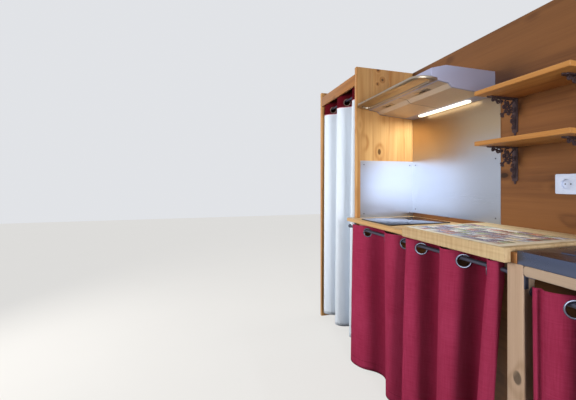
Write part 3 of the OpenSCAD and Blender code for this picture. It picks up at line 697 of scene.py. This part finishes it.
crimson = cloth_finish("crimson_cotton", 0.0011, Roughness=0.9)
slubs = cloth_cloud(crimson, 260, 14)
weft_slubs = cloth_cloud(crimson, 14, 260)
creases = cloth_cloud(crimson, 7, 2.2, 2.0)
tone = slubs * 0.3 + weft_slubs * 0.3 + cloth_cloud(crimson, 6, 3) * 0.4
hem_seam = 1 - abs(crimson.along - 0.045).rise(0.0006, 0.0014)
colour = crimson.mix(tone.rise(0.3, 0.72), shade(139, 36, 64), shade(163, 55, 87))
# Painted shade: deep in the folds, towards the wall, the cloth is painted darker, where shade falls between them
deep = crimson.axis(1).rise(-0.262, -0.196)
colour = crimson.mix(deep * 0.5, colour, shade(92, 6, 32))
crimson.vary(Base_Color=crimson.mix(hem_seam * 0.6, colour, shade(84, 14, 32)))
crimson.emboss(crimson.weave * 0.1 + slubs * 0.1 + weft_slubs * 0.1 - hem_seam * 0.3 + creases * 2.0, 0.003)

kitchen_rings = ring_middles("kitchen_eyelets")
parting = (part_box("curtain_left")[1].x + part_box("curtain_right")[0].x) / 2
left_hang = Hanging("curtain_left", [ring for ring in kitchen_rings if ring.x < parting], 0.0405, 3, lean=0.0, deepen=0.2)
right_hang = Hanging("curtain_right", [ring for ring in kitchen_rings if ring.x > parting], 0.0420, 8, 0.010, last_pleat=0.150, more=0.034, last_turn=1.22, deepen=0.15, slide=-0.020)
sink_hang = Hanging("sink_curtain", ring_middles("sink_eyelets"), 0.0410, 4, first_pleat=0.036, deepen=0.08)
kitchen_ring_piece = eyelets("kitchen_eyelets", ring_metal, left_hang, right_hang)
sink_ring_piece = eyelets("sink_eyelets", ring_metal, sink_hang)
curtain(left_hang, crimson, "crimson_cloth")
curtain(right_hang, crimson, "crimson_cloth")
curtain(sink_hang, crimson, "crimson_cloth")

# Wardrobe curtain
# Pale cotton with a fine herringbone of small diamonds, and a dark red band sewn along its
# top with a thin seam. Its eyelets are of darkened metal, and the fascia hides its head.
band_height = 0.100
linen = cloth_finish("pale_herringbone", 0.0012, Roughness=0.9)
zigzag = abs(linen.across.part(0.016) - 0.5)
stripes = (linen.along + zigzag * 0.016).wave(1 / 0.007)
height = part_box("wardrobe_curtain")[1].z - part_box("wardrobe_curtain")[0].z
band = linen.along > height - band_height
seam = 1 - abs(linen.along - (height - band_height)).rise(0.0015, 0.003)
slubs = cloth_cloud(linen, 14, 240)
colour = linen.mix(stripes * 0.6 + slubs * 0.2, shade(234, 241, 248), shade(194, 208, 227))
colour = linen.mix(band, colour, shade(82, 8, 20))
linen.vary(Base_Color=linen.mix(seam, colour, shade(214, 160, 170)))
linen.emboss(stripes * 0.1 + linen.weave * 0.06 + cloth_cloud(linen, 7, 2.0, 2.0) * 2.0, 0.003)
dark_metal = Finish("eyelet_bronze", Metallic=0.9, Base_Color=shade(112, 92, 84))
dark_metal.vary(Roughness=dark_metal.cloud(dark_metal.place(60, 60, 60)) * 0.2 + 0.25)
fascia_low, fascia_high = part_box("wardrobe_fascia")
wardrobe_hang = Hanging(
    "wardrobe_curtain", ring_middles("wardrobe_eyelets"), 0.0480, 6, stop=(fascia_high.y + 0.003, fascia_low.z - 0.06)
)
ring_piece = eyelets("wardrobe_eyelets", dark_metal, wardrobe_hang)
curtain(wardrobe_hang, linen, "pale_cloth", 0.03)

# Splash sheets
# Brushed stainless sheets on the wall and on the wardrobe's side panel, each held by four
# small round-headed screws near its corners.
screw_inset = 0.026
screw_radius = 0.004
brushed = Finish("brushed_sheet", Metallic=1.0, Specular_IOR_Level=0.5)
brush = brushed.cloud(brushed.place(5, 5, 700), 3.0)
sweep = brushed.cloud(brushed.place(0.9, 0.9, 5), 2.0)
# Painted reflection: the upper part is tinted a little brown, standing in for the wood that the sheets reflect
painted_wood_reflection = brushed.axis(2).rise(1.19, 1.42) * (0.75 + sweep * 0.25)
brushed.vary(
    Base_Color=brushed.mix(painted_wood_reflection, brushed.mix(sweep, shade(178, 184, 198), shade(192, 198, 210)), shade(186, 162, 128)),
    Roughness=brush * 0.10 + sweep * 0.10 + 0.20,
)
brushed.emboss(brush, 0.00025)


def add_dome(shape, middle, axis, radius=screw_radius):
    """A flat round screw head whose shank points along one axis."""
    flat = [1.0, 1.0, 1.0]
    flat[axis] = 0.45
    place = Matrix.Translation(middle) @ Matrix.Diagonal((*flat, 1.0))
    bmesh.ops.create_uvsphere(shape, u_segments=16, v_segments=10, radius=radius, matrix=place)


screw_steel = Finish("screw_steel", Metallic=1.0)
screw_steel.vary(
    Base_Color=screw_steel.mix(screw_steel.cloud(screw_steel.place(200, 200, 200)), shade(84, 86, 96), shade(110, 112, 122)),
    Roughness=screw_steel.cloud(screw_steel.place(90, 90, 90)) * 0.2 + 0.25,
)
shape = bmesh.new()
for sheet, flat_axis, along in (("splash_back", 1, 0), ("splash_side", 0, 1)):
    dress(sheet, brushed)
    low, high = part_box(sheet)
    face = low.y if flat_axis == 1 else high.x
    for side in (low[along] + screw_inset, high[along] - screw_inset):
        for z in (low.z + screw_inset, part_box("splash_side")[1].z - screw_inset):
            middle = Vector((0, 0, z))
            middle[flat_axis] = face
            middle[along] = side
            add_dome(shape, middle, flat_axis)
piece("splash_screws", shape, screw_steel, "sheet_steel")

# Hood
# A satin steel housing on the wall, with a thin visor along its front, two filter panels
# of fine mesh, each with its latch, and a lamp with an opal cover under it.
satin = Finish("hood_satin_steel", Metallic=0.55)
haze = satin.cloud(satin.place(3, 3, 3), 2.0)
grain = satin.cloud(satin.place(4, 600, 600), 3.0)
satin.vary(
    Base_Color=satin.mix(haze, shade(164, 166, 194), shade(184, 186, 212)),
    Roughness=grain * 0.14 + haze * 0.1 + 0.36,
)
satin.emboss(grain, 0.00015)
eased_copy("hood_body", 0.0012, satin, "hood_steel")
warm_satin = Finish("visor_satin_steel", Metallic=0.9)
haze = warm_satin.cloud(warm_satin.place(3, 3, 3), 2.0)
warm_satin.vary(
    Base_Color=warm_satin.mix(haze, shade(160, 148, 132), shade(180, 168, 152)), Roughness=haze * 0.1 + 0.24
)
eased_copy("hood_visor", 0.0012, warm_satin, "hood_steel")

filter_metal = Finish("filter_aluminium", Metallic=0.6)
mesh_pitch = 0.005
slant = filter_metal.axis(0) + filter_metal.axis(1)
cross = filter_metal.axis(0) - filter_metal.axis(1)
wires = slant.wave(1 / mesh_pitch) * cross.wave(1 / mesh_pitch)
low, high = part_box("hood_filters")
# Painted shade: a thin dark line down the middle, where the two filter panels meet, stands in for the shadow in the gap
# between them
seam = 1 - abs(filter_metal.axis(0) - (low.x + high.x) / 2).rise(0.0012, 0.0022)
filter_metal.vary(
    Base_Color=filter_metal.mix(seam, filter_metal.mix(wires, shade(216, 200, 182), shade(170, 154, 136)), shade(60, 48, 42)),
    Roughness=wires * 0.15 + 0.4,
)
filter_metal.emboss(wires, 0.0008)
dress("hood_filters", filter_metal)

hood_low, hood_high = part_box("hood_body")
latch_depth = 0.300
latch_slope = math.atan2(20, 166)
latch_z = 1.5773
# Painted shade: a near-black strip on each latch stands in for the shade inside its finger slot
latch_slot_shade = Finish("latch_slot", Roughness=0.6)
latch_slot_shade.vary(Base_Color=latch_slot_shade.mix(latch_slot_shade.cloud(latch_slot_shade.place(90, 90, 90)), shade(26, 20, 20), shade(44, 34, 32)))
for name, finish, size, drop in (
    ("filter_latches", warm_satin, (0.090, 0.030, 0.003), 0.0010), ("latch_slots", latch_slot_shade, (0.045, 0.010, 0.002), 0.0022)
):
    shape = bmesh.new()
    half = Vector(size) / 2
    for share in (0.25, 0.75):
        old = set(shape.verts)
        add_block(shape, -half, half, 0.0006)
        middle = (low.x + (high.x - low.x) * share, hood_high.y - latch_depth, latch_z - drop)
        place = Matrix.Translation(middle) @ Matrix.Rotation(-latch_slope, 4, "X")
        bmesh.ops.transform(shape, matrix=place, verts=[v for v in shape.verts if v not in old])
    piece(name, shape, finish, "hood_steel")

lamp = Finish("lamp_opal", Roughness=0.5, Emission_Strength=1.7, Emission_Color=shade(255, 240, 208))
lamp.vary(Base_Color=lamp.mix(lamp.cloud(lamp.place(40, 40, 40)), shade(250, 244, 230), shade(240, 234, 220)))
eased_copy("hood_lamp", 0.003, lamp, "lamp_cover", 3)

# Shelves
# Two boards with satin varnish, each on a pair of cast scroll brackets.
shelf_wood = wood_finish(
    "shelf_board", 0, shade(200, 146, 82), shade(148, 94, 44), flames=3.0, knots=0.2, gloss=0.42
)
for shelf in ("shelf_upper", "shelf_lower"):
    eased_copy(shelf, 0.003, shelf_wood, "shelf_wood", 3)

flange = 0.024
strand = 0.5
cast = Finish("cast_iron", Metallic=0.4, Specular_IOR_Level=0.4)
pits = cast.cloud(cast.place(350, 350, 350), 3.0)
cast.vary(
    Base_Color=cast.mix(cast.cloud(cast.place(60, 60, 60)), shade(50, 42, 50), shade(86, 68, 68)),
    Roughness=pits * 0.3 + 0.42,
)
cast.emboss(pits, 0.0004)
for pair in ("brackets_upper", "brackets_lower"):
    low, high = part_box(pair)
    shape = merged(pair)
    for vert in shape.verts:
        middle = low.x + flange / 2 if vert.co.x < (low.x + high.x) / 2 else high.x - flange / 2
        if abs(vert.co.x - middle) < flange * 0.45:
            vert.co.x = middle + (vert.co.x - middle) * strand
    ease(shape, sharp_edges(shape), 0.0006)
    piece(pair + "_cast", shape, cast, "scroll_iron", pair)

# Socket
# A white plate with a round well. Its two pin holes are dark discs of painted shade.
moulded = Finish("white_moulding", Specular_IOR_Level=0.5)
specks = moulded.cloud(moulded.place(120, 120, 120))
low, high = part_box("wall_socket")
pin_radius = 0.0026
# Painted shade: dark discs on the well stand in for the shade inside the two pin holes
pin_hole_shade = None
for side in (-0.0095, 0.0095):
    pin = ((low.x + high.x) / 2 + side, high.y - 0.002, (low.z + high.z) / 2)
    gap = moulded.node("ShaderNodeVectorMath", {"operation": "DISTANCE"}, {0: moulded.place(), 1: pin}, "Value")
    hole_shade = 1 - gap.rise(pin_radius * 0.9, pin_radius * 1.1)
    pin_hole_shade = hole_shade if pin_hole_shade is None else pin_hole_shade + hole_shade
colour = moulded.mix(specks, shade(198, 208, 230), shade(186, 196, 218))
moulded.vary(Base_Color=moulded.mix(pin_hole_shade, colour, shade(20, 20, 24)), Roughness=specks * 0.15 + 0.25)
eased_copy("wall_socket", 0.0012, moulded, "white_plastic")

# Room
# A pale floor and soft light from a bank of lamps across the hut, with a pale sky all
# round that the camera and the metal see.
floor_finish = Finish("pale_floor", Roughness=0.9, Specular_IOR_Level=0.1, Emission_Strength=1.0)


def rays(name):
    return floor_finish.node("ShaderNodeLightPath", output=name)


floor_finish.vary(
    Base_Color=floor_finish.mix(
        floor_finish.cloud(floor_finish.place(2, 2, 2)), shade(104, 102, 98), shade(98, 96, 92)
    ),
    Emission_Color=floor_finish.mix(
        (rays("Is Camera Ray") + rays("Is Glossy Ray") + rays("Is Transmission Ray")) > 0.5, shade(0, 0, 0), shade(216, 215, 213)
    ),
)
shape = bmesh.new()
bmesh.ops.create_grid(shape, x_segments=1, y_segments=1, size=9.0)
mesh = bpy.data.meshes.new("floor")
shape.to_mesh(mesh)
shape.free()
mesh.materials.append(floor_finish.material)
floor = bpy.data.objects.new("floor", mesh)
floor.data.transform(Matrix.Translation((0, 0, -0.001)))
scene.collection.objects.link(floor)
floor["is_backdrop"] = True

world = bpy.data.worlds.new("room_light")
scene.world = world
world.use_nodes = True
tree = world.node_tree
ambient = tree.nodes["Background"]
ambient.inputs["Color"].default_value = shade(232, 236, 244)
ambient.inputs["Strength"].default_value = 0.12
backdrop = tree.nodes.new("ShaderNodeBackground")
backdrop.inputs["Color"].default_value = shade(236, 238, 242)
backdrop.inputs["Strength"].default_value = 0.9
rays = tree.nodes.new("ShaderNodeLightPath")
seen = tree.nodes.new("ShaderNodeMath")
seen.operation = "ADD"
seen.use_clamp = True
seen_through = tree.nodes.new("ShaderNodeMath")
seen_through.operation = "ADD"
seen_through.use_clamp = True
share = tree.nodes.new("ShaderNodeMixShader")
tree.links.new(rays.outputs["Is Camera Ray"], seen.inputs[0])
tree.links.new(rays.outputs["Is Glossy Ray"], seen.inputs[1])
tree.links.new(seen.outputs[0], seen_through.inputs[0])
tree.links.new(rays.outputs["Is Transmission Ray"], seen_through.inputs[1])
tree.links.new(seen_through.outputs[0], share.inputs[0])
tree.links.new(ambient.outputs[0], share.inputs[1])
tree.links.new(backdrop.outputs[0], share.inputs[2])
tree.links.new(share.outputs[0], tree.nodes["World Output"].inputs["Surface"])


def soft_light(name, where, aim, size, power, colour):
    light = bpy.data.lights.new(name, "AREA")
    light.shape = "RECTANGLE"
    light.size, light.size_y = size
    light.energy = power
    light.color = colour
    made = bpy.data.objects.new(name, light)
    made.location = where
    made.rotation_euler = (Vector(aim) - Vector(where)).to_track_quat("-Z", "Y").to_euler()
    scene.collection.objects.link(made)
    return made


key = soft_light("end_door_light", (4.2, -1.0, 1.4), (0.0, -0.1, 0.9), (0.8, 1.8), 150, (0.97, 0.98, 1.0))
key.visible_glossy = False
window = soft_light("window_light", (-1.2, -2.95, 1.5), (0.1, -0.2, 0.7), (1.2, 1.2), 92, (1.0, 0.98, 0.96))
window.visible_glossy = False
door = soft_light("door_glow", (3.0, -1.9, 1.3), (-0.6, 0.1, 1.1), (2.4, 2.0), 90, (0.93, 0.97, 1.0))
door.visible_diffuse = False
back = soft_light("back_light", (-1.0, 3.6, 1.7), (0.0, 0.28, 0.9), (2.0, 1.6), 130, (1.0, 0.99, 0.97))
back.visible_glossy = False
low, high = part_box("hood_lamp")
under = soft_light(
    "lamp_glow", ((low.x + high.x) / 2, (low.y + high.y) / 2, low.z - 0.002), ((low.x + high.x) / 2, (low.y + high.y) / 2, 0),
    (0.36, 0.03), 5.5, (0.74, 0.89, 1.0),
)
under.visible_camera = False
under.visible_glossy = False

low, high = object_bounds()
